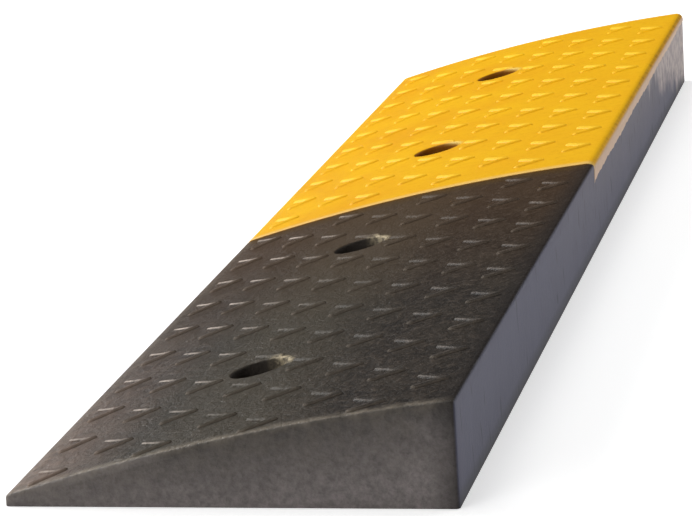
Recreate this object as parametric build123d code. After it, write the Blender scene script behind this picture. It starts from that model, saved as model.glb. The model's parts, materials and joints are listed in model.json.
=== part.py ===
from build123d import *
import math
import os

# A kerb ramp moulded in rubber and bolted to the ground: a black body, a yellow skin over about half of
# its top, and a steel washer moulded into each bolt hole. X runs from the thin toe (-X) to the tall back
# (+X), Y along the ramp from the black end (-Y) to the yellow end (+Y), and Z up from the ground.

# The block, in millimetres
length = 1000.0
width = 210.0
toe_height = 5.0
back_height = 50.0
crown_rise = 5.0  # how far the arched top stands above a straight slope
black_length = 485.0  # from the black end to the colour border
black_edge_radius = 2.0

# The yellow skin
skin_thickness = 2.5
skin_step = 0.8  # how far it stands proud of the black top
skin_lap = 10.0  # how far it turns down over the back and the end
skin_edge_radius = 4.5
toe_strip = 1.0  # black rubber that shows below the skin at the toe

# The tread: staggered rows of raised chevrons that point up the slope
chevron_arm = 15.0  # from the middle of the point to the middle of an arm's round end
chevron_half_angle = 36.0
rib_width = 5.0
rib_height = 1.1
rib_root = 1.0  # how deep a rib is rooted in the surface that it stands on
chevron_pitch = 50.0  # along the ramp
row_pitch = 25.0  # up the slope
tread_toe_margin = 9.0
tread_back_margin = 8.0
tread_end_margin = 4.0
tread_border_margin = 3.0

# The bolt holes and their washers
hole_count = 4
hole_end_margin = 125.0  # from each end of the ramp to the nearest hole
hole_from_toe = 92.0
head_recess_diameter = 28.0
bolt_hole_diameter = 14.0
seat_height = 12.0  # from the ground to the top of the washer
washer_grip = 3.0  # how far the washer's rim reaches into the rubber
washer_thickness = 3.0

toe_x = -width / 2
back_x = width / 2
black_end = -length / 2
yellow_end = length / 2
border = black_end + black_length
overall_height = back_height + crown_rise + rib_height + skin_step

# The top is part of a large drum that lies along the ramp and passes through the toe, the crown and the back
chord = math.hypot(width, back_height - toe_height)
drum_radius = (chord ** 2 / 4 + crown_rise ** 2) / (2 * crown_rise)
drum_drop = drum_radius - crown_rise
drum_x = drum_drop * (back_height - toe_height) / chord
drum_z = (toe_height + back_height) / 2 - drum_drop * width / chord


def arched_block(x_low, x_high, y_low, y_high, lift):
    """A box on the ground, cut off above by the ramp's arched top moved up by lift."""
    box = Pos(x_low, y_low, 0) * Box(x_high - x_low, y_high - y_low, overall_height, align=Align.MIN)
    drum = Pos(drum_x, 0, drum_z + lift) * Rot(90, 0, 0) * Cylinder(drum_radius, 2 * length)
    return box & drum


def round_free_edges(block, radius):
    """Rounds every edge of a block but those on the ground and those at the colour border."""
    off_ground = [edge for edge in block.edges() if edge.center().Z > 0.01]
    free_edges = [edge for edge in off_ground if abs(edge.center().Y - border) > 0.01]
    return fillet(free_edges, min(radius, toe_height))


# Plan outline of one chevron, its point at the origin: two round-ended bars that meet towards the back
bar = Pos(-chevron_arm / 2, 0) * SlotCenterToCenter(chevron_arm, rib_width)
chevron = Rot(0, 0, chevron_half_angle) * bar + Rot(0, 0, -chevron_half_angle) * bar
chevron_prism = extrude(chevron, overall_height)
arm_reach = chevron_arm * math.cos(math.radians(chevron_half_angle))
half_span = chevron_arm * math.sin(math.radians(chevron_half_angle)) + rib_width / 2


def tread_ribs(y_low, y_high, lift):
    """The raised chevrons that lie wholly between y_low and y_high, on the top moved up by lift."""
    layer = arched_block(toe_x, back_x, y_low, y_high, lift + rib_height)
    layer -= arched_block(toe_x, back_x, y_low, y_high, lift - rib_root)
    first_point = toe_x + tread_toe_margin + rib_width / 2 + arm_reach
    last_point = back_x - tread_back_margin - rib_width / 2
    ribs = []
    for row in range(int((last_point - first_point) / row_pitch) + 1):
        x = first_point + row * row_pitch
        y = black_end + tread_end_margin + half_span + row % 2 * chevron_pitch / 2
        while y + half_span <= y_high - tread_border_margin:
            if y - half_span >= y_low + tread_border_margin:
                ribs.append(Pos(x, y, 0) * chevron_prism & layer)
            y += chevron_pitch
    return ribs


# The holes stand in one line along the ramp, evenly spaced between the two end ones
hole_x = toe_x + hole_from_toe
first_hole = black_end + hole_end_margin
hole_pitch = (length - 2 * hole_end_margin) / (hole_count - 1)
hole_places = [Pos(hole_x, first_hole + n * hole_pitch, 0) for n in range(hole_count)]


def upright_cylinder(diameter, z_low, z_high):
    """A cylinder on the Z axis between two heights."""
    on_ground = (Align.CENTER, Align.CENTER, Align.MIN)
    return Pos(0, 0, z_low) * Cylinder(diameter / 2, z_high - z_low, align=on_ground)


head_recess = upright_cylinder(head_recess_diameter, seat_height, overall_height)
bolt_hole = upright_cylinder(bolt_hole_diameter, 0, overall_height)
washer_diameter = head_recess_diameter + 2 * washer_grip
washer_blank = upright_cylinder(washer_diameter, seat_height - washer_thickness, seat_height)
bolt_washer = washer_blank - bolt_hole

# The yellow half: the skin is the shell that is left round a core of black rubber
yellow_half = round_free_edges(arched_block(toe_x, back_x, border, yellow_end, skin_step), skin_edge_radius)
base_slab = Pos(toe_x, border, 0) * Box(width, yellow_end - border, toe_strip, align=Align.MIN)
below_lap = arched_block(toe_x, back_x, border, yellow_end, skin_step - skin_lap)
below_skin = arched_block(
    toe_x + skin_thickness,
    back_x - skin_thickness,
    border,
    yellow_end - skin_thickness,
    skin_step - skin_thickness,
)
core = yellow_half & (base_slab + below_lap + below_skin)
yellow_skin = yellow_half - core + tread_ribs(border, yellow_end, skin_step)

# The black half and the core under the skin are one moulding
black_half = round_free_edges(arched_block(toe_x, back_x, black_end, border, 0), black_edge_radius)
rubber_body = black_half + core + tread_ribs(black_end, border, 0)

for place in hole_places:
    yellow_skin -= place * head_recess
    rubber_body -= place * (head_recess + bolt_hole + washer_blank)

nodes = {"rubber_body": rubber_body, "yellow_skin": yellow_skin}
for number, place in enumerate(hole_places, start=1):
    nodes[f"bolt_washer_{number}"] = place * bolt_washer

os.makedirs("parts", exist_ok=True)
for name, shape in nodes.items():
    shape.label = name
    export_step(shape, f"parts/{name}.step")
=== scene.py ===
import bmesh
import bpy
import json
import math
import numpy as np
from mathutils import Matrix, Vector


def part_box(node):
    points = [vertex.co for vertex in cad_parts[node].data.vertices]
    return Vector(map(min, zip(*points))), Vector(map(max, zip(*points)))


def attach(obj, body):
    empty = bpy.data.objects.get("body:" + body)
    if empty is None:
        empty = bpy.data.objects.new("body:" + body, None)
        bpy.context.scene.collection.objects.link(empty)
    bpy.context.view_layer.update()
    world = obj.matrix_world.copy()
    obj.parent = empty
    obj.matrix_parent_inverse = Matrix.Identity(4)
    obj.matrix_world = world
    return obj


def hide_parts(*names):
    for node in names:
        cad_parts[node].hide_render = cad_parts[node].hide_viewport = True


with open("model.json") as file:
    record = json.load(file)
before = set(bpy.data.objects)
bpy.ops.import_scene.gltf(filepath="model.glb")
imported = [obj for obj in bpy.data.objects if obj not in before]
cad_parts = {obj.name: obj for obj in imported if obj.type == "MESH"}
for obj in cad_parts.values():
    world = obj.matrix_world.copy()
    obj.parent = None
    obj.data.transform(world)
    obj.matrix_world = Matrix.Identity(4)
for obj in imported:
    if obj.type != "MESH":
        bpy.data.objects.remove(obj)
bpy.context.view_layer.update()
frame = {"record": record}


# Bolt washers. Four steel washers, pressed from sheet and zinc plated, are laid in the mould before the
# rubber. Each one forms the seat at the foot of a bolt hole, so that a bolt's head can't pull through.
# Sizes up to the studio are in millimetres, and mm turns them into Blender's metres.

mm = 0.001


def corners(node):
    """A node's lowest and highest corners in the frame, to a hundredth of a millimetre."""
    return np.round(np.array(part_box(node)) / mm, 2)


washer_boxes = np.array([corners(f"bolt_washer_{number}") for number in (1, 2, 3, 4)])
hole_x = float(washer_boxes[0, :, 0].mean())
hole_ys = washer_boxes[:, :, 1].mean(axis=1).tolist()
bolt_radius = frame["record"]["mounts"][0]["dims"]["hole_r_mm"]  # of the first pair of bolt holes
washer_radius = float(np.ptp(washer_boxes[0, :, 0]) / 2)
washer_foot, washer_seat = washer_boxes[0, :, 2].tolist()
washer_edge = 0.35
washer_steps = 96


def linear(code):
    """The linear colour of an sRGB hex code. A channel c becomes c / 12.92 where it is dark, and otherwise
    ((c + 0.055) / 1.055) ** 2.4."""
    srgb = np.array([int(code[i:i + 2], 16) for i in (1, 3, 5)]) / 255
    flat = np.where(srgb <= 0.04045, srgb / 12.92, ((srgb + 0.055) / 1.055) ** 2.4)
    return (*flat.tolist(), 1.0)


def add(tree, kind, inputs, out=None, **settings):
    """Adds one shader node. An input is given by its name, or by its number where names repeat, as a value
    or as the socket that feeds it. Returns the output that out names, all of them for "all", or else the
    first one."""
    node = tree.nodes.new("ShaderNode" + kind)
    for name, value in settings.items():
        setattr(node, name, value)
    sockets = [socket for socket in node.inputs if socket.enabled]
    names = [socket.name for socket in sockets]
    for name, value in inputs.items():
        socket = sockets[name if isinstance(name, int) else names.index(name)]
        if isinstance(value, bpy.types.NodeSocket):
            tree.links.new(value, socket)
        else:
            socket.default_value = value
    if out == "all":
        return node.outputs
    return next((socket for socket in node.outputs if socket.enabled and out in (None, socket.name)), None)


def new_material(name):
    """A new material, and its node tree with nothing in it."""
    material = bpy.data.materials.new(name)
    material.use_nodes = True
    material.node_tree.nodes.clear()
    return material, material.node_tree


def welded(name, patches, flats=()):
    """One closed mesh from grids of points. Points within a micrometre become one vertex, and a quad that
    loses a corner by that becomes a triangle. A patch is (points, keep), where keep is True or says which
    quads stay. Each loop of points in flats becomes one face. An edge that turns by more than sharp_angle is
    shaded sharp. Returns the object and its points."""
    sharp_angle = math.radians(62)
    points = np.concatenate([grid.reshape(-1, 3) for grid, keep in patches])
    quads = []
    start = 0
    for grid, keep in patches:
        index = start + np.arange(grid.shape[0] * grid.shape[1]).reshape(grid.shape[:2])
        quad = np.stack([index[:-1, :-1], index[1:, :-1], index[1:, 1:], index[:-1, 1:]], axis=-1)
        quads.append(quad.reshape(-1, 4) if keep is True else quad[keep])
        start += index.size
    places, vertex = np.unique(np.round(points, 3) + 0.0, axis=0, return_inverse=True)
    quads = vertex.reshape(-1)[np.concatenate(quads)]
    same = quads == np.roll(quads, -1, axis=1)
    lost = same.sum(axis=1)
    kept_corner = np.arange(4)[None, :] != same.argmax(axis=1)[:, None]
    faces = quads[lost == 0].tolist()
    faces += quads[lost == 1][kept_corner[lost == 1]].reshape(-1, 3).tolist()
    number = {tuple(place): count for count, place in enumerate(places.tolist())}
    for loop in flats:
        turns = [number[tuple(place)] for place in (np.round(loop, 3) + 0.0).tolist()]
        faces.append([a for a, b in zip(turns, turns[1:] + turns[:1]) if a != b])
    mesh = bpy.data.meshes.new(name)
    mesh.from_pydata((places * mm).tolist(), [], faces)
    work = bmesh.new()
    work.from_mesh(mesh)
    bmesh.ops.recalc_face_normals(work, faces=work.faces)
    work.to_mesh(mesh)
    work.free()
    mesh.shade_smooth()
    mesh.set_sharp_from_angle(angle=sharp_angle)
    piece = bpy.data.objects.new(name, mesh)
    bpy.context.scene.collection.objects.link(piece)
    return piece, places


def washer_surface(centre_y):
    """A section carried round the hole's axis: the point at turn t is the centre plus r * (cos t, sin t), at
    height z. The section is a rectangle between the two radii with its corners cut off, and ends where it
    starts."""
    section = np.array([
        (bolt_radius, washer_foot + washer_edge),
        (bolt_radius, washer_seat - washer_edge),
        (bolt_radius + washer_edge, washer_seat),
        (washer_radius - washer_edge, washer_seat),
        (washer_radius, washer_seat - washer_edge),
        (washer_radius, washer_foot + washer_edge),
        (washer_radius - washer_edge, washer_foot),
        (bolt_radius + washer_edge, washer_foot),
        (bolt_radius, washer_foot + washer_edge),
    ])
    r, z = section.T[..., None]
    turn = np.linspace(0, 2 * math.pi, washer_steps + 1)[None, :]
    return np.stack([hole_x + r * np.cos(turn), centre_y + r * np.sin(turn), z + 0 * turn], axis=-1)


# Zinc-plated steel: a pale grey metal under a cloudy stain, which dulls it in places. The scale of a noise,
# here and below, is 1000 over the size of its spots in millimetres.
zinc, tree = new_material("zinc_plated_steel")
place = add(tree, "TexCoord", {}, "Object")
stain = add(tree, "TexNoise", {"Vector": place, "Scale": 1000 / 6, "Detail": 4.0})
tint = add(tree, "Mix", {"Factor": stain, "A": linear("#8E8C86"), "B": linear("#B4B3AE")}, data_type="RGBA")
dull = add(tree, "MapRange", {"Value": stain, "To Min": 0.32, "To Max": 0.55})
steel = add(tree, "BsdfPrincipled", {"Base Color": tint, "Metallic": 1.0, "Roughness": dull})
add(tree, "OutputMaterial", {"Surface": steel})

for number, centre_y in enumerate(hole_ys, start=1):
    washer, _ = welded(f"washer_{number}", [(washer_surface(centre_y), True)])
    washer.data.materials.append(zinc)
    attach(washer, "root")
    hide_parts(f"bolt_washer_{number}")


# Rubber body. One compression moulding of black rubber granulate: a wedge with an arched top, chevron ribs
# on its bare half, a plain core under the yellow half, and four stepped holes moulded round the washers.

body_low, body_high = corners("rubber_body").tolist()
toe_x, near_y = body_low[:2]
border_y = float(corners("yellow_skin")[0, 1])
core_inset = 0.4  # how far the back, and the toe of the core, lie inside the yellow skin
film_thick = 0.6  # of the yellow film that hangs over the far end
back_x = body_high[0] - core_inset
far_y = body_high[1] - film_thick

# The top is part of a large drum that lies along the ramp and passes through the toe, the crown and the back
width = body_high[0] - toe_x
toe_height = 5.0
back_height = 50.0
crown_rise = 5.0
chord = math.hypot(width, back_height - toe_height)
drum_radius = (chord ** 2 / 4 + crown_rise ** 2) / (2 * crown_rise)
drum_drop = drum_radius - crown_rise
drum_x = drum_drop * (back_height - toe_height) / chord
drum_z = (toe_height + back_height) / 2 - drum_drop * width / chord

# The edges, and how finely the surfaces are divided
black_round = 2.0
core_round = 4.1
core_drop = 0.7  # how far the top of the core lies below the drum
frame_width = 1.2  # of the ring of quads round each end face
edge_points = 6
face_shares = np.array([0, 0.3, 0.6, 0.88])  # places up an upright face, as shares of its height
drum_start = face_shares.size + edge_points  # number of a section's first point on the drum
top_first_x = toe_x + 5.5
top_last_x = body_high[0] - 7.0
top_step = 4.15
bare_step = 7.0
core_step = 17.0

# The holes. Each one lies in a square of the top, which is divided more finely.
square_half = 20.0
square_steps = 30
rim_steps = 4
rim_round = 1.0
washer_grip = 3.0
recess_radius = washer_radius - washer_grip
foot_bevel = 0.4
hole_wall = np.array([  # the radius and height of each ring below the rim
    (recess_radius, 22.0),
    (recess_radius, 17.0),
    (recess_radius, washer_seat),
    (washer_radius, washer_seat),
    (washer_radius, washer_foot),
    (bolt_radius, washer_foot),
    (bolt_radius, foot_bevel),
    (bolt_radius + foot_bevel, 0.0),
])

# The tread
rib_height = 1.1
rib_half = 2.5
rib_arm = 15.0
rib_angle = math.radians(36)
rib_span = rib_arm * math.sin(rib_angle) + rib_half
rib_sink = 0.6
bend_points = 7
across_points = 13
rib_pitch = 50.0
row_pitch = 25.0
row_count = 8
ribs_in_row = round((body_high[1] - near_y) / rib_pitch)
toe_margin = 9.0
end_margin = 4.0
border_margin = 3.0
rib_first_x = toe_x + toe_margin + rib_half + rib_arm * math.cos(rib_angle)
rib_first_y = near_y + end_margin + rib_span
rib_from_rim = 0.5  # a rib stops this far from a hole's rim
rib_fade = 2.0  # and has its full height this much further out
sunk_from_rim = 0.3  # the sunken part is pushed out to here, clear of the hole


def drum_top(x, lift):
    """Height of the arched top at x: the upper side of a large drum along Y, its radius larger by lift."""
    return drum_z + np.sqrt((drum_radius + lift) ** 2 - (x - drum_x) ** 2)


def rib_surfaces(y_low, y_high, lift, squareness):
    """Chevron ribs, each a closed surface of stations along its centre line by places across. The centre line
    has two arms that part at rib_angle from the X axis and meet in a point towards the back. At a distance d
    from it the rib stands rib_height * (1 - (d / rib_half) ** squareness) above the top, and its foot lies
    rib_sink below. Every other row is moved by half a pitch, ribs that would cross y_low or y_high are left
    out, and a rib sinks away where it comes within reach of a hole's rim."""
    rows = np.arange(row_count)[:, None]
    numbers = np.arange(ribs_in_row)[None, :]
    point_x = rib_first_x + rows * row_pitch + 0 * numbers
    point_y = rib_first_y + rows % 2 * rib_pitch / 2 + numbers * rib_pitch
    whole = (point_y - rib_span > y_low + border_margin) & (point_y + rib_span < y_high - border_margin)
    start = np.stack([point_x[whole], point_y[whole]], axis=-1)[:, None, None, :]

    # The stations go round one arm's end and in along it, round the point, and back out along the other arm
    cap = np.radians([90, 68, 46, 24])
    arm_shares = np.array([1, 0.6, 0.3])
    past = np.concatenate([rib_half * np.sin(cap), 0 * arm_shares])
    from_point = np.concatenate([rib_arm + rib_half * np.sin(cap), rib_arm * arm_shares])
    half = np.concatenate([rib_half * np.cos(cap), 0 * arm_shares + rib_half])
    bend = np.linspace(rib_angle - math.pi / 2, math.pi / 2 - rib_angle, bend_points)
    aim = np.concatenate([np.full(past.size, bend[0]), bend, np.full(past.size, bend[-1])])
    past = np.concatenate([past, 0 * bend, past[::-1]])[:, None]
    from_point = np.concatenate([from_point, 0 * bend, from_point[::-1]])[:, None, None]
    half = np.concatenate([half, 0 * bend + rib_half, half[::-1]])[:, None]

    # The places across have each side twice, so that the outer one can go down to the foot
    across = np.concatenate([[-1], -np.cos(np.linspace(0, math.pi, across_points)), [1]])
    along = np.stack([-np.sin(np.abs(aim)), np.sign(aim) * np.cos(aim)], axis=-1)[:, None, :]
    outward = np.stack([np.cos(aim), np.sin(aim)], axis=-1)[:, None, :]
    inward = np.where(from_point == 0, [1 / math.sin(rib_angle), 0], outward)
    side = np.where(across[None, :, None] > 0, outward, inward) * (half * across)[..., None]
    plan = start + (from_point * along + side)[None]
    d = np.hypot(past, half * across[None, :])
    rise = rib_height * np.maximum(1 - (d / rib_half) ** squareness, 0)[None]
    rim = recess_radius + rim_round
    for hole_y in hole_ys:
        gap = plan - np.array([hole_x, hole_y])
        r = np.hypot(gap[..., 0], gap[..., 1])
        faded = rise * np.clip((r - rim - rib_from_rim) / rib_fade, 0, 1)
        rise = np.where(r < rim + rib_from_rim, -rib_sink, faded)
        plan = plan + gap * (np.maximum(rim + sunk_from_rim - r, 0) / r)[..., None]
    z = drum_top(plan[..., 0], lift) + rise
    z[:, :, [0, -1]] = drum_top(plan[:, :, [0, -1], 0], lift) - rib_sink
    ribs = np.concatenate([plan, z[..., None]], axis=-1)
    return np.concatenate([ribs, ribs[:, :, :1]], axis=2)


def lines_past(first, last, centres, step_shadow):
    """Values from first to last, about a step apart, with square_steps over the square of each hole."""
    stops = [first, *(centre + side for centre in centres for side in (-square_half, square_half)), last]
    gaps = list(zip(stops, stops[1:]))
    counts = [square_steps if n % 2 else round((high - low) / step_shadow) for n, (low, high) in enumerate(gaps)]
    lines = [np.linspace(low, high, n, endpoint=False) for (low, high), n in zip(gaps, counts)]
    return np.concatenate([*lines, [last]])


top_x = lines_past(top_first_x, top_last_x, [hole_x], top_step)
over_square = np.abs(top_x - hole_x) < square_half + 0.01


def section_rows(toe, back, rounding, lift, toe_foot, back_foot):
    """The block's outline across the ramp, one per row: up the toe, round its edge, over the drum, round the
    back edge and down the back. Each edge is an arc about a centre that lies one rounding inside both faces.
    Takes one value per row and returns the X and Z of every point."""
    values = (toe, back, rounding, lift, toe_foot, back_foot)
    toe, back, rounding, lift, toe_foot, back_foot = (np.asarray(value, float)[:, None] for value in values)
    toe_centre_x, back_centre_x = centre_x = np.stack([toe + rounding, back - rounding])
    radius = drum_radius + lift
    reach = radius - rounding
    toe_centre_z, back_centre_z = centre_z = drum_z + np.sqrt(reach ** 2 - (centre_x - drum_x) ** 2)
    toe_lean, back_lean = np.arctan2(centre_x - drum_x, centre_z - drum_z)
    part = np.linspace(0, 1, edge_points)[None, :]
    toe_turn = -math.pi / 2 + part * (toe_lean + math.pi / 2)
    back_turn = back_lean + part * (math.pi / 2 - back_lean)
    drum_turn = np.arcsin((top_x[None, :] - drum_x) / drum_radius) + 0 * toe
    up = face_shares[None, :]
    down = up[:, ::-1]
    stretches = [
        (toe + 0 * up, toe_foot + (toe_centre_z - toe_foot) * up),
        (toe_centre_x + rounding * np.sin(toe_turn), toe_centre_z + rounding * np.cos(toe_turn)),
        (drum_x + radius * np.sin(drum_turn), drum_z + radius * np.cos(drum_turn)),
        (back_centre_x + rounding * np.sin(back_turn), back_centre_z + rounding * np.cos(back_turn)),
        (back + 0 * down, back_foot + (back_centre_z - back_foot) * down),
    ]
    return (np.concatenate(values, axis=1) for values in zip(*stretches))


def rounded_edge(end_y, rounding, inwards):
    """Rows over a rounded end edge, from the end in. At turn t, from a quarter turn to 0, a row lies
    rounding * (1 - sin t) from the end, and its outline is cut back by rounding * (1 - cos t)."""
    turn = np.linspace(math.pi / 2, 0, edge_points)
    return end_y + inwards * rounding * (1 - np.sin(turn)), rounding * (1 - np.cos(turn))


def all_quads(grid):
    """A True for every quad of a grid of points."""
    return np.ones((grid.shape[0] - 1, grid.shape[1] - 1), bool)


def square_rows(row_y, centre_y):
    """The numbers of the two rows that bound a hole's square."""
    return [int(np.argmin(np.abs(row_y - centre_y - side))) for side in (-square_half, square_half)]


def square_loop(grid, rows, lines):
    """The points of a grid round one hole's square, once round, from its near toe corner."""
    low, high = rows
    left, right = lines
    sides = [grid[low, left:right], grid[low:high, right], grid[high, right:left:-1], grid[high:low:-1, left]]
    return np.concatenate(sides)


def rim_rings(loop, centre_y, lift):
    """Rings from a hole's square in to its wall: straight blends from each point of the square to the circle
    one rounding outside the wall, on the drum, then a quarter turn down over the rim. Also gives the
    direction of each point from the hole's axis."""
    centre = np.array([hole_x, centre_y])
    out = loop[:, :2] - centre
    out = out / np.hypot(*out.T)[:, None]
    blend = np.linspace(0, 1, rim_steps + 1)[1:, None, None]
    plan = (1 - blend) * loop[None, :, :2] + blend * (centre + out * (recess_radius + rim_round))
    height = drum_top(plan[..., 0], lift)
    turn = np.linspace(0, math.pi / 2, rim_steps + 1)[1:, None, None]
    over = centre + out * (recess_radius + rim_round * (1 - np.sin(turn)))
    down = height[-1] - rim_round * (1 - np.cos(turn[..., 0]))
    rings = np.concatenate([np.dstack([plan, height]), np.dstack([over, down])])
    return np.concatenate([loop[None], rings]), out


# The rows along the body: the near end and its edge, the bare top, the core under the skin, and the far
# end's edge
near_edge_y, near_edge_cut = rounded_edge(near_y, black_round, 1)
bare_y = lines_past(near_y + black_round, border_y, hole_ys[:2], bare_step)[1:]
core_y = lines_past(border_y, far_y - core_round, hole_ys[2:], core_step)[:-1]
far_edge_y, far_edge_cut = (rows[::-1] for rows in rounded_edge(far_y, core_round, -1))
body_y = np.concatenate([[near_y], near_edge_y, bare_y, core_y, far_edge_y, [far_y]])
cut = np.concatenate([near_edge_cut, 0 * bare_y, 0 * core_y, far_edge_cut])
cut = np.concatenate([[black_round + frame_width], cut, [core_round + frame_width]])
is_core = np.arange(body_y.size) > near_edge_y.size + bare_y.size
rounding = np.maximum(np.where(is_core, core_round, black_round) - cut, 0)
toe_line = np.where(is_core, toe_x + core_inset, toe_x) + cut
lift = np.where(is_core, -core_drop, 0) - cut
x, z = section_rows(toe_line, back_x - cut, rounding, lift, 0 * cut, 0 * cut)
shell = np.stack([x, body_y[:, None] + 0 * x, z], axis=-1)

# The underside has only its two edges and the lines of the holes' squares
foot_x = np.concatenate([x[:, :1], top_x[over_square] + 0 * x[:, :1], x[:, -1:]], axis=1)
foot = np.stack([foot_x, body_y[:, None] + 0 * foot_x, 0 * foot_x], axis=-1)

# The holes, each from its square in the top down to the same square in the underside
keep_top = all_quads(shell)
keep_foot = all_quads(foot)
first_line = drum_start + int(np.argmax(over_square))
last_line = first_line + square_steps
wall_radius, wall_z = hole_wall.T
body_patches = []
for centre_y in hole_ys:
    low, high = square_rows(body_y, centre_y)
    keep_top[low:high, first_line:last_line] = False
    keep_foot[low:high, 1:-1] = False
    loop = square_loop(shell, (low, high), (first_line, last_line))
    rings, out = rim_rings(loop, centre_y, 0 if centre_y < border_y else -core_drop)
    plan = np.array([hole_x, centre_y]) + out * wall_radius[:, None, None]
    wall = np.dstack([plan, wall_z[:, None] + 0 * plan[..., 0]])
    under = square_loop(foot, (low, high), (1, foot.shape[1] - 2))
    rings = np.concatenate([rings, wall, under[None]])
    body_patches.append((np.concatenate([rings, rings[:, :1]], axis=1), True))

body_patches += [(shell, keep_top), (foot, keep_foot)]
body_patches += [(rib, True) for rib in rib_surfaces(near_y, border_y, lift=0, squareness=4.5)]
near_end = np.concatenate([shell[0], foot[0, -2:0:-1]])
far_end = np.concatenate([shell[-1], foot[-1, -2:0:-1]])
body, places = welded("black_rubber_body", body_patches, [near_end, far_end])


def mark(piece, name, values):
    """Gives a piece one named value per point, which its material reads."""
    piece.data.attributes.new(name, "FLOAT", "POINT").data.foreach_set("value", values.astype(np.float32))


def fade(value, zero, one):
    """Goes with a value on a straight line, from 0 where it equals zero to 1 where it equals one, and stays
    level beyond."""
    return np.clip((value - zero) / (one - zero), 0, 1)


def on_chevron(x, y):
    """Where a point lies on the nearest chevron: from 0 on its near arm to 1 on its far arm, and the distance
    from the arm's middle line, larger towards the back. A row's stretch begins row_lead before its points."""
    row_lead = 18.5
    row = np.floor((x - rib_first_x + row_lead) / row_pitch)
    off = (y - rib_first_y - row % 2 * rib_pitch / 2 + rib_pitch / 2) % rib_pitch - rib_pitch / 2
    out = (x - rib_first_x - row * row_pitch) * math.sin(rib_angle) + np.abs(off) * math.cos(rib_angle)
    return fade(off, -2, 2), out


def by_hole(x, y):
    """A point's distance from the axis of the nearest hole, and the cosine of the angle between its direction
    from there and the side of the rim that takes a painted highlight, which lies between the back and the far
    end."""
    highlight_turn = math.radians(35)
    nearest = np.array(hole_ys)[np.argmin(np.abs(y[:, None] - np.array(hole_ys)), axis=1)]
    turn = np.arctan2(y - nearest, x - hole_x)
    return np.hypot(x - hole_x, y - nearest), np.cos(turn - highlight_turn)


# Marks for the material. On the ribs, dust_and_fill_light is dust on the flanks of the near arms together
# with painted fill light that lifts their shade, matt is how dull a rib is, least on the far arms, and
# rub_and_highlight is the line along the crest that soles rub bright, which is also a painted highlight.
# Elsewhere, edge is the worn edge of the near end and the toe, bounce_light_and_pale_toe the painted light
# bounced from the floor that makes the foot of the ends pale, and their pale toe side, well the inside of a
# hole, and glint a painted highlight on one side of its rim.
x, y, z = places.T
depth = drum_top(x, 0) - z
far, out = on_chevron(x, y)
rib = np.where(y < border_y, fade(-depth, 0, rib_height), 0)
high_side = fade(x, 0, 60)
dusted = (0.7 + 0.3 * fade(x, 0, -50)) * (1 - far)
# Dust on the flanks of the near arms, with painted fill light that lifts their shade, more towards the toe
mark(body, "dust_and_fill_light", fade(rib, 0, 0.1) * fade(rib, 0.9, 0.7) * dusted)
mark(body, "matt", fade(rib, 0, 0.1) * (1 - (0.7 + 0.1 * high_side) * far))
line_half = 0.6 + 0.3 * fade(x, 0, -60)
# A bright line along the crests: wear, and a painted highlight on the far arms
highlight_line = fade(np.abs(out + 1.75 * far), line_half, 0) * np.maximum(0.2 + 0.3 * high_side, far)
mark(body, "rub_and_highlight", fade(rib, 0.5, 0.8) * highlight_line)
worn_width = 6.0
worn_end = fade(np.hypot(depth, y - near_y), worn_width, 0)
worn_toe = fade(np.hypot(depth, x - toe_x), worn_width, 0)
mark(body, "edge", np.maximum(worn_end, 0.4 * worn_toe))
# Painted light bounced from the floor, paler towards the foot of the ends, and pale towards the toe
mark(body, "bounce_light_and_pale_toe", np.maximum(fade(depth, 0, 20), np.minimum(fade(x, -20, -55), 0.6)))
from_hole, facing = by_hole(x, y)
mark(body, "well", fade(from_hole, recess_radius + 0.8, recess_radius + 0.2))
# A painted highlight on the side of each rim between the back and the far end
rim_highlight = fade(np.abs(from_hole - recess_radius - 1.2), 2.4, 0) * np.clip(3 * facing - 1.8, 0, 1)
mark(body, "glint", np.where((depth < 2.5) & (y < border_y), rim_highlight, 0))

# Moulded black rubber: nearly black and matt where it is trodden, and greyer on the back and the ends, where
# the bloom that rubber sweats out isn't rubbed off. Pores and dust leave it half the shine that its IOR would
# give. The granulate is about 0.5 mm and is drawn six times coarser, so that it shows.
black, tree = new_material("moulded_black_rubber")
place = add(tree, "TexCoord", {}, "Object")
at = add(tree, "SeparateXYZ", {"Vector": place}, "all")
dust_and_fill_light, matt, rub_and_highlight, edge, bounce_light_and_pale_toe, well, glint = (
    add(tree, "Attribute", {}, "Fac", attribute_name=name)
    for name in ("dust_and_fill_light", "matt", "rub_and_highlight", "edge", "bounce_light_and_pale_toe", "well", "glint")
)
cloud = add(tree, "TexNoise", {"Vector": place, "Scale": 1000 / 40, "Detail": 3.0})
mottle = add(tree, "TexNoise", {"Vector": place, "Scale": 1000 / 7, "Detail": 5.0, "Roughness": 0.65})
grain = add(tree, "TexNoise", {"Vector": place, "Scale": 1000 / 3, "Detail": 3.0, "Roughness": 0.7})

# The trodden top: clouds, specks and grain, a paler track along the holes, dust on the ribs' near arms with
# painted fill light that lifts their shade, dust towards the toe of the near end, and yellow rubbed off onto
# the black towards the border
patch = add(tree, "MapRange", {"Value": cloud, "From Min": 0.35, "From Max": 0.65})
tint = add(tree, "Mix", {"Factor": patch, "A": linear("#19130E"), "B": linear("#2C251D")}, data_type="RGBA")
speck = add(tree, "MapRange", {"Value": mottle, "From Min": 0.45, "From Max": 0.75, "To Max": 0.5})
tint = add(tree, "Mix", {"Factor": speck, "A": tint, "B": linear("#4A4138")}, data_type="RGBA")
speck = add(tree, "MapRange", {"Value": grain, "From Min": 0.5, "From Max": 0.66, "To Max": 0.6})
tint = add(tree, "Mix", {"Factor": speck, "A": tint, "B": linear("#574C42")}, data_type="RGBA")
beside = add(tree, "Math", {0: at["X"], 1: 12 * mm}, operation="ADD")
beside = add(tree, "Math", {0: beside}, operation="ABSOLUTE")
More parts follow.
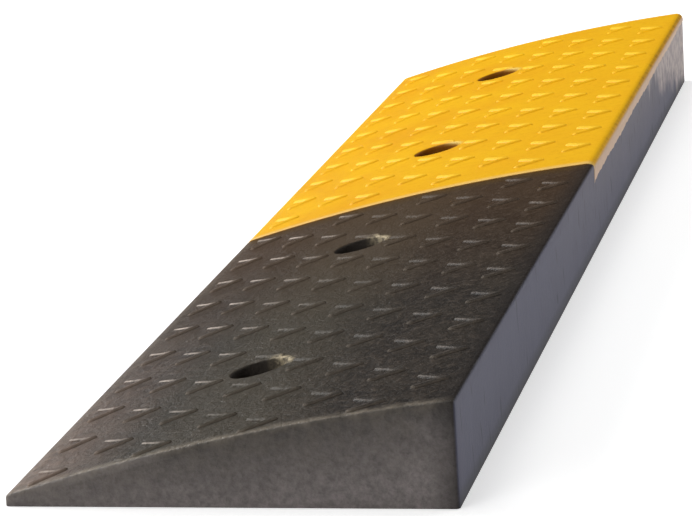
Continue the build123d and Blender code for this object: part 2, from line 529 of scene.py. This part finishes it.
track = add(tree, "MapRange", {
    "Value": beside, "From Min": 15 * mm, "From Max": 60 * mm, "To Min": 0.4, "To Max": 0.0,
})
tint = add(tree, "Mix", {"Factor": track, "A": tint, "B": linear("#514A3A")}, data_type="RGBA")
# Dust and painted fill light on the flanks of the near arms
tint = add(tree, "Mix", {"Factor": dust_and_fill_light, "A": tint, "B": linear("#675E54")}, data_type="RGBA")
low_side = add(tree, "MapRange", {"Value": at["X"], "From Min": -50 * mm, "From Max": toe_x * mm})
near_side = add(tree, "MapRange", {
    "Value": at["Y"], "From Min": -200 * mm, "From Max": near_y * mm, "To Min": 0.1, "To Max": 1.2,
})
dust = add(tree, "Math", {0: low_side, 1: near_side}, operation="MULTIPLY")
dust = add(tree, "Math", {0: dust, 1: mottle}, operation="MULTIPLY")
tint = add(tree, "Mix", {"Factor": dust, "A": tint, "B": linear("#937C6E")}, data_type="RGBA")
haze = add(tree, "MapRange", {"Value": at["Y"], "From Min": -300 * mm, "From Max": -50 * mm, "To Max": 0.35})
tint = add(tree, "Mix", {"Factor": haze, "A": tint, "B": linear("#5A3A10")}, data_type="RGBA")
smear = add(tree, "MapRange", {
    "Value": at["Y"], "From Min": (border_y - 15) * mm, "From Max": (border_y - 1) * mm, "To Max": 0.9,
})
tint = add(tree, "Mix", {"Factor": smear, "A": tint, "B": linear("#4E370E")}, data_type="RGBA")

# Lines rubbed bright on the ribs, which are also a painted highlight on the far arms, most towards the toe
# and least where dust lies, and worn edges
uneven = add(tree, "MapRange", {
    "Value": mottle, "From Min": 0.35, "From Max": 0.65, "To Min": 0.3, "To Max": 1.0,
})
crest = add(tree, "Math", {0: rub_and_highlight, 1: uneven}, operation="MULTIPLY")
low_wear_and_light = add(tree, "MapRange", {
    "Value": at["X"], "From Min": -10 * mm, "From Max": -80 * mm, "To Max": 1.7,
})
high_wear_and_light = add(tree, "MapRange", {
    "Value": at["X"], "From Min": 20 * mm, "From Max": 80 * mm, "To Max": 0.35,
})
wear_and_light = add(tree, "Math", {0: low_wear_and_light, 1: high_wear_and_light}, operation="MAXIMUM")
clean = add(tree, "MapRange", {"Value": dust, "From Max": 0.6, "To Min": 1.0, "To Max": 0.35})
wear_and_light = add(tree, "Math", {0: wear_and_light, 1: clean}, operation="MULTIPLY")
crest = add(tree, "Math", {0: crest, 1: wear_and_light}, operation="MULTIPLY")
# Wear and a painted highlight along the ribs' crests
tint = add(tree, "Mix", {"Factor": crest, "A": tint, "B": linear("#C4B5A8")}, data_type="RGBA")
worn = add(tree, "Math", {0: edge, 1: uneven}, operation="MULTIPLY")
tint = add(tree, "Mix", {"Factor": worn, "A": tint, "B": linear("#958A7A")}, data_type="RGBA")

# The two ends: grey bloom in soft spots, ashen at the foot as painted light bounced from the floor, and
# ashen towards the toe, and a band of painted shade beside the back that also runs along the top
spots = add(tree, "MapRange", {"Value": mottle, "From Min": 0.3, "From Max": 0.7})
fine = add(tree, "MapRange", {"Value": grain, "From Min": 0.3, "From Max": 0.7})
fine = add(tree, "Mix", {"Factor": 0.15, "A": fine, "B": spots})
ashen = add(tree, "Mix", {"Factor": fine, "A": linear("#6A6462"), "B": linear("#928A88")}, data_type="RGBA")
bloom = add(tree, "Mix", {"Factor": fine, "A": linear("#292625"), "B": linear("#3D3937")}, data_type="RGBA")
# Painted floor bounce light makes the foot of the ends pale, and the toe side too
bloom = add(tree, "Mix", {"Factor": bounce_light_and_pale_toe, "A": bloom, "B": ashen}, data_type="RGBA")
hint = add(tree, "Math", {0: worn, 1: 0.4}, operation="MULTIPLY")
bloom = add(tree, "Mix", {"Factor": hint, "A": bloom, "B": linear("#958A7A")}, data_type="RGBA")
on_end = add(tree, "Math", {0: at["Y"]}, operation="ABSOLUTE")
on_end = add(tree, "MapRange", {
    "Value": on_end, "From Min": (far_y - 1) * mm, "From Max": (far_y - 0.1) * mm,
})
tint = add(tree, "Mix", {"Factor": on_end, "A": tint, "B": bloom}, data_type="RGBA")
# Painted shade in a band beside the back, on the top and the ends
painted_shade_band = add(tree, "MapRange", {"Value": at["X"], "From Min": 91 * mm, "From Max": 103.5 * mm, "To Max": 0.75})
tint = add(tree, "Mix", {"Factor": painted_shade_band, "A": tint, "B": linear("#211C1A")}, data_type="RGBA")

# The back: grey bloom in upright streaks, tinted blue as painted sky light, dusty high up towards the far
# end, with slanted scratches, a chalky upper far corner whose edge the streaks make ragged, and darker
# towards the foot
upright = add(tree, "Mapping", {"Vector": place, "Scale": (1, 1, 0.4)})
streak = add(tree, "TexNoise", {"Vector": upright, "Scale": 1000 / 25, "Detail": 4.0})
# The blue of this bloom is painted sky light
bloom = add(tree, "Mix", {"Factor": streak, "A": linear("#414155"), "B": linear("#4F4F64")}, data_type="RGBA")
far_off = add(tree, "MapRange", {"Value": at["Y"], "From Min": -250 * mm, "From Max": 500 * mm})
high_up = add(tree, "MapRange", {"Value": at["Z"], "From Min": 3 * mm, "From Max": 40 * mm})
dusty = add(tree, "Math", {0: far_off, 1: high_up}, operation="MULTIPLY")
dusty = add(tree, "Math", {0: dusty, 1: mottle}, operation="MULTIPLY")
bloom = add(tree, "Mix", {"Factor": dusty, "A": bloom, "B": linear("#7E736E")}, data_type="RGBA")
slant = {"Rotation": (math.radians(12), 0, 0), "Scale": (1, 1, 4)}
slanted = add(tree, "Mapping", {"Vector": place, **slant}, vector_type="TEXTURE")
scratch = add(tree, "TexNoise", {"Vector": slanted, "Scale": 1000 / 5, "Detail": 0.0})
scratch = add(tree, "MapRange", {"Value": scratch, "From Min": 0.73, "From Max": 0.78, "To Max": 0.7})
bloom = add(tree, "Mix", {"Factor": scratch, "A": bloom, "B": linear("#24242E")}, data_type="RGBA")
corner = add(tree, "Math", {0: at["Z"], 1: 4.5, 2: at["Y"]}, operation="MULTIPLY_ADD")
corner = add(tree, "Math", {0: streak, 1: 0.25, 2: corner}, operation="MULTIPLY_ADD")
chalk = add(tree, "MapRange", {"Value": corner, "From Min": 0.58, "From Max": 0.64, "To Max": 1.2})
chalk = add(tree, "Math", {0: chalk, 1: uneven}, operation="MULTIPLY")
bloom = add(tree, "Mix", {"Factor": chalk, "A": bloom, "B": linear("#B3A5A0")}, data_type="RGBA")
# Darker towards the foot of the back
darker_foot = add(tree, "MapRange", {"Value": at["Z"], "From Min": 9 * mm, "From Max": 1 * mm, "To Max": 0.75})
bloom = add(tree, "Mix", {"Factor": darker_foot, "A": bloom, "B": linear("#1E1C1C")}, data_type="RGBA")
on_back = add(tree, "MapRange", {
    "Value": at["X"], "From Min": (back_x - 1) * mm, "From Max": (back_x - 0.1) * mm,
})
tint = add(tree, "Mix", {"Factor": on_back, "A": tint, "B": bloom}, data_type="RGBA")

# The holes: dark inside, brown in the yellow half, where the brown paints the shade and the yellow light
# reflected into them, and a painted highlight in bright grains on one side of the rim
far_half = add(tree, "MapRange", {
    "Value": at["Y"], "From Min": (border_y - 1) * mm, "From Max": (border_y + 1) * mm,
})
# In the yellow half the brown paints the shade and the yellow light reflected into the holes
inside = add(tree, "Mix", {
    "Factor": far_half, "A": linear("#3C3631"), "B": linear("#8C5406"),
}, data_type="RGBA")
tint = add(tree, "Mix", {"Factor": well, "A": tint, "B": inside}, data_type="RGBA")
sparkle = add(tree, "MapRange", {
    "Value": grain, "From Min": 0.42, "From Max": 0.55, "To Min": 0.25, "To Max": 1.0,
})
glint = add(tree, "Math", {0: glint, 1: sparkle}, operation="MULTIPLY")
tint = add(tree, "Mix", {"Factor": glint, "A": tint, "B": linear("#DCCBA8")}, data_type="RGBA")

# Gloss and relief: duller on the faces, the ribs' near arms and in the holes, and smoother on the back
on_face = add(tree, "Math", {0: on_end, 1: on_back}, operation="MAXIMUM")
dull = add(tree, "MapRange", {"Value": mottle, "To Min": 0.4, "To Max": 0.55})
dull = add(tree, "Mix", {"Factor": on_face, "A": dull, "B": 0.6})
dull = add(tree, "Mix", {"Factor": matt, "A": dull, "B": 0.85})
dull = add(tree, "Mix", {"Factor": well, "A": dull, "B": 0.9})
relief = add(tree, "Math", {0: mottle, 1: grain}, operation="ADD")
rough = add(tree, "MapRange", {"Value": on_back, "To Min": 1.0, "To Max": 0.25})
bump = add(tree, "Bump", {"Height": relief, "Strength": rough, "Distance": 0.8 * mm})
rubber = add(tree, "BsdfPrincipled", {
    "Base Color": tint, "Roughness": dull, "IOR": 1.52, "Specular IOR Level": 0.25, "Normal": bump,
})
add(tree, "OutputMaterial", {"Surface": rubber})
body.data.materials.append(black)
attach(body, "root")
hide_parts("rubber_body")


# Yellow rubber skin. A thin coat of yellow rubber is bonded over the far half of the top in the same mould.
# It stands a little proud at the border, has rounder edges and laps thinly down the back and the far end.

skin_low, skin_high = corners("yellow_skin").tolist()
skin_foot = skin_low[2]
skin_back_x, skin_far_y = skin_high[:2]
skin_lift = 0.8  # how far it stands proud of the black top
skin_round = 4.5
skin_step = 1.6
lip_round = 0.7
lining_lift = -1.3
lining_inset = 1.0

lip_y, lip_cut = rounded_edge(border_y, lip_round, 1)
top_y = lines_past(border_y + lip_round, skin_far_y - skin_round, hole_ys[2:], skin_step)[1:-1]
end_y, end_cut = (rows[::-1] for rows in rounded_edge(skin_far_y, skin_round, -1))
skin_y = np.concatenate([[border_y], lip_y, top_y, end_y])
cut = np.concatenate([[2 * lip_round], lip_cut, 0 * top_y, end_cut])

# The lap's lower edge is a gently rising line with waves of four lengths on it, and hangs lower at the border
lap_z = 40.0
lap_slope = 0.009
lap_ragged = 0.22
lap_droop = 1.6
droop_width = 2.5
waves = ((3.1, 0, 1.0), (7.3, 1, 1.0), (1.9, 2, 1.0), (23.0, 0, 1.6))  # length over 2 pi, start, height
ragged = sum(height * np.sin(skin_y / length + start) for length, start, height in waves)
droop = lap_droop * np.exp(-((skin_y - border_y) / droop_width) ** 2)
lap_foot = lap_z + lap_slope * skin_y + lap_ragged * ragged - droop
toe_foot = skin_foot + 0 * cut
x, z = section_rows(toe_x + cut, skin_back_x - cut, skin_round - cut, skin_lift - cut, toe_foot, lap_foot)
lap_lean = [0.03, 0.08, 0.16, 0.3]  # the lap thins downwards
x[:, -face_shares.size:] -= lap_lean
y = skin_y[:, None]
tuck = np.stack([x[:, :1] + film_thick, y, z[:, :1]], axis=-1)
lap_edge = np.stack([x[:, -1:] - film_thick, y, z[:, -1:]], axis=-1)
shell = np.concatenate([tuck, np.stack([x, y + 0 * x, z], axis=-1), lap_edge], axis=1)

# The lining closes the skin from below, inside the core, with only the lines of the holes' squares
lining_x = np.concatenate([[top_first_x], top_x[over_square], [top_last_x]])[None, :] + 0 * y
lining_y = np.minimum(y, far_y - lining_inset) + 0 * lining_x
lining_z = drum_top(lining_x, lining_lift) - np.maximum(cut - lining_inset, 0)[:, None]
lining = np.concatenate([tuck, np.stack([lining_x, lining_y, lining_z], axis=-1), lap_edge], axis=1)

keep_top = all_quads(shell)
keep_lining = all_quads(lining)
first_line = 1 + drum_start + int(np.argmax(over_square))
last_line = first_line + square_steps
skin_patches = []
for centre_y in hole_ys[2:]:
    low, high = square_rows(skin_y, centre_y)
    keep_top[low:high, first_line:last_line] = False
    keep_lining[low:high, 2:-2] = False
    loop = square_loop(shell, (low, high), (first_line, last_line))
    rings, out = rim_rings(loop, centre_y, skin_lift)
    foot_ring = rings[-1:].copy()
    foot_ring[..., 2] = drum_top(foot_ring[..., 0], lining_lift)
    under = square_loop(lining, (low, high), (2, lining.shape[1] - 3))
    rings = np.concatenate([rings, foot_ring, under[None]])
    skin_patches.append((np.concatenate([rings, rings[:, :1]], axis=1), True))

# The film over the far end hangs from the last row, as deep as the lap, and meets the toe and the lap at its
# sides. It leans in towards a wavy hem.
hem_lean = 0.3
hem_wave = 0.25
hem_length = 4.7  # of a wave, over 2 pi
toe_side = shell[-1, face_shares.size + 1:0:-1]
back_side = shell[-1, -face_shares.size - 2:-1]
crest = shell[-1, drum_start:-drum_start]
fall = np.append(0, 1 - face_shares[::-1])[:, None]
film_depth = crest[-1, 2] - back_side[-1, 2]
hem_z = crest[:, 2] - film_depth - hem_wave * np.sin(crest[:, 0] / hem_length)
hem_z = np.maximum(hem_z, skin_foot)
end_film = np.stack([
    crest[:, 0] + 0 * fall,
    crest[:, 1] - hem_lean * fall ** 2,
    crest[:, 2] + (hem_z - crest[:, 2]) * fall,
], axis=-1)
end_film[:, 0] = toe_side
end_film[:, -1] = back_side
hem = end_film[-1] - np.array([0, film_thick, 0])
end_film = np.concatenate([end_film, hem[None]])

skin_patches += [(shell, keep_top), (lining, keep_lining), (end_film, True)]
skin_patches += [(rib, True) for rib in rib_surfaces(border_y, skin_far_y, lift=skin_lift, squareness=2.6)]
border_loop = np.concatenate([shell[0], lining[0, -2:0:-1]])
end_loop = np.concatenate([hem, lining[-1, ::-1]])
toe_corner = np.stack([end_film[-2, 0], hem[0], tuck[-1, 0]])
back_corner = np.stack([end_film[-2, -1], hem[-1], lap_edge[-1, 0]])
skin, places = welded("yellow_rubber_skin", skin_patches, [border_loop, end_loop, toe_corner, back_corner])

# Marks for the material: rib is the height on a rib, far the rib's far arm, lap the way down the laps, well
# the inside of a hole, and glint a painted highlight on one side of its rim
x, y, z = places.T
depth = drum_top(x, skin_lift) - z
far, out = on_chevron(x, y)
mark(skin, "rib", fade(-depth, 0, rib_height))
mark(skin, "far", 0.2 + 0.8 * far)
on_lap = fade(x, skin_back_x - 15, skin_back_x - 7) + fade(y, skin_far_y - 12, skin_far_y - 6)
from_hole, facing = by_hole(x, y)
mark(skin, "lap", np.where(from_hole > square_half, fade(depth, 0, 10) * np.minimum(on_lap, 1), 0))
mark(skin, "well", fade(from_hole, recess_radius + 0.8, recess_radius + 0.2))
# A painted highlight on one side of each rim
rim_highlight = fade(np.abs(from_hole - recess_radius - 1), 2.4, 0) * np.clip(3 * facing - 2, 0, 0.9)
mark(skin, "glint", np.where(depth < 2, rim_highlight, 0))

# Moulded yellow rubber: a deep satin yellow, cloudy where the colour is thin, brighter towards the back,
# with a painted highlight on the far arms of the ribs. Pores and dust leave it half the shine that its IOR
# would give.
yellow, tree = new_material("moulded_yellow_rubber")
place = add(tree, "TexCoord", {}, "Object")
at = add(tree, "SeparateXYZ", {"Vector": place}, "all")
rib, far, lap, well, glint = (
    add(tree, "Attribute", {}, "Fac", attribute_name=name) for name in ("rib", "far", "lap", "well", "glint")
)
cloud = add(tree, "TexNoise", {"Vector": place, "Scale": 1000 / 45, "Detail": 4.0})
mottle = add(tree, "TexNoise", {"Vector": place, "Scale": 1000 / 5, "Detail": 5.0, "Roughness": 0.65})
patch = add(tree, "MapRange", {"Value": cloud, "From Min": 0.35, "From Max": 0.65})
tint = add(tree, "Mix", {"Factor": patch, "A": linear("#F6B000"), "B": linear("#FDC102")}, data_type="RGBA")
faded = add(tree, "MapRange", {"Value": at["X"], "From Min": -70 * mm, "From Max": 80 * mm, "To Max": 0.7})
tint = add(tree, "Mix", {"Factor": faded, "A": tint, "B": linear("#FFC20A")}, data_type="RGBA")
speck = add(tree, "MapRange", {"Value": mottle, "From Min": 0.5, "From Max": 0.8, "To Max": 0.55})
tint = add(tree, "Mix", {"Factor": speck, "A": tint, "B": linear("#E5A202")}, data_type="RGBA")
# A painted highlight on the far arms of the ribs
crest = add(tree, "MapRange", {"Value": rib, "From Min": 0.1, "From Max": 0.6, "To Max": 0.9})
crest = add(tree, "Math", {0: crest, 1: far}, operation="MULTIPLY")
tint = add(tree, "Mix", {"Factor": crest, "A": tint, "B": linear("#FFCF2C")}, data_type="RGBA")

# A painted highlight on the lip along the border above a painted shadow on its step, holes brown with
# grime and painted shade, and a painted highlight on one side of their rims
# A painted highlight along the lip of the border
lip_highlight = add(tree, "MapRange", {
    "Value": at["Y"], "From Min": (border_y + 9) * mm, "From Max": (border_y + 2.5) * mm, "To Max": 0.7,
})
tint = add(tree, "Mix", {"Factor": lip_highlight, "A": tint, "B": linear("#F7D083")}, data_type="RGBA")
# A painted shadow on the step below the lip
step_shadow = add(tree, "MapRange", {
    "Value": at["Y"], "From Min": (border_y + 0.4) * mm, "From Max": (border_y + 0.1) * mm, "To Max": 0.95,
})
tint = add(tree, "Mix", {"Factor": step_shadow, "A": tint, "B": linear("#8A5E14")}, data_type="RGBA")
# Grime and painted shade inside the holes
tint = add(tree, "Mix", {"Factor": well, "A": tint, "B": linear("#A4650A")}, data_type="RGBA")
# A painted highlight on one side of each rim
tint = add(tree, "Mix", {"Factor": glint, "A": tint, "B": linear("#F8D870")}, data_type="RGBA")

# The laps: a brown line of grime along the edge, strongest towards the far end, and below it the film, so
# thin and dusty that it looks tan
brown = add(tree, "MapRange", {"Value": lap, "From Min": 0.05, "From Max": 0.12})
soiled = add(tree, "MapRange", {
    "Value": at["Y"], "From Min": -20 * mm, "From Max": 250 * mm, "To Min": 0.4, "To Max": 1.0,
})
brown = add(tree, "Math", {0: brown, 1: soiled}, operation="MULTIPLY")
brown = add(tree, "Math", {0: brown, 1: mottle}, operation="MULTIPLY")
tint = add(tree, "Mix", {"Factor": brown, "A": tint, "B": linear("#94611C")}, data_type="RGBA")
thin = add(tree, "MapRange", {"Value": lap, "From Min": 0.22, "From Max": 0.36})
tan = add(tree, "Mix", {"Factor": mottle, "A": linear("#B8977A"), "B": linear("#DDBB9C")}, data_type="RGBA")
tint = add(tree, "Mix", {"Factor": thin, "A": tint, "B": tan}, data_type="RGBA")

# Gloss and relief: satin, and duller on the ribs
dull = add(tree, "MapRange", {"Value": mottle, "To Min": 0.42, "To Max": 0.58})
dull = add(tree, "Mix", {"Factor": rib, "A": dull, "B": 0.7})
bump = add(tree, "Bump", {"Height": mottle, "Strength": 0.4, "Distance": 0.4 * mm})
rubber = add(tree, "BsdfPrincipled", {
    "Base Color": tint, "Roughness": dull, "IOR": 1.5, "Specular IOR Level": 0.25, "Normal": bump,
})
add(tree, "OutputMaterial", {"Surface": rubber})
skin.data.materials.append(yellow)
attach(skin, "root")
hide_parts("yellow_skin")


# Studio, in metres. A sheet of white paper under the ramp is the floor. It glows a little where it is looked
# at, so that it stays white and still takes the shadow. Four soft lamps and a faint white surround light the
# ramp, and the camera stands where the photo was taken from.

floor_half = 6.0
floor_z = -0.0002
floor_corners = [(floor_half * x, floor_half * y, floor_z) for x, y in ((-1, -1), (1, -1), (1, 1), (-1, 1))]
floor_mesh = bpy.data.meshes.new("floor")
floor_mesh.from_pydata(floor_corners, [], [(0, 1, 2, 3)])
floor = bpy.data.objects.new("floor", floor_mesh)
bpy.context.scene.collection.objects.link(floor)
paper, tree = new_material("white_paper")
ray = add(tree, "LightPath", {}, "all")
seen = add(tree, "Math", {0: ray["Is Camera Ray"], 1: ray["Is Glossy Ray"]}, operation="MAXIMUM")
seen = add(tree, "Math", {0: seen, 1: ray["Is Transmission Ray"]}, operation="MAXIMUM")
glow = add(tree, "MapRange", {"Value": seen, "To Max": 0.55})
sheet = add(tree, "BsdfPrincipled", {
    "Base Color": linear("#F1F1F1"),
    "Roughness": 0.9,
    "Specular IOR Level": 0.0,
    "Emission Color": linear("#FFFFFF"),
    "Emission Strength": glow,
})
add(tree, "OutputMaterial", {"Surface": sheet})
floor.data.materials.append(paper)

world = bpy.data.worlds.new("studio")
world.use_nodes = True
surround = world.node_tree.nodes["Background"]
surround.inputs["Color"].default_value = linear("#FFFFFF")
surround.inputs["Strength"].default_value = 0.07
bpy.context.scene.world = world

for name, place, size, energy in (
    ("key_lamp", (-1.75, 0.7, 1.15), 0.9, 40),
    ("top_lamp", (-0.5, -0.4, 2.2), 1.4, 18),
    ("fill_lamp", (-1.2, -2.3, 0.9), 1.2, 17),
    ("back_lamp", (1.9, 1.0, 0.7), 1.0, 18),
):
    lamp = bpy.data.lights.new(name, "AREA")
    lamp.energy = energy
    lamp.size = size
    lamp_object = bpy.data.objects.new(name, lamp)
    lamp_object.location = place
    lamp_object.rotation_euler = (-lamp_object.location).to_track_quat("-Z", "Y").to_euler()
    bpy.context.scene.collection.objects.link(lamp_object)

lens = bpy.data.cameras.new("camera")
lens.sensor_width = 36
lens.lens = 169.9
camera = bpy.data.objects.new("camera", lens)
camera.location = (0.35365, -1.85149, 0.44715)
camera.rotation_euler = np.radians((76.455, 3.3866, 11.4387))
bpy.context.scene.collection.objects.link(camera)
bpy.context.scene.camera = camera
bpy.context.scene.view_settings.view_transform = "Standard"
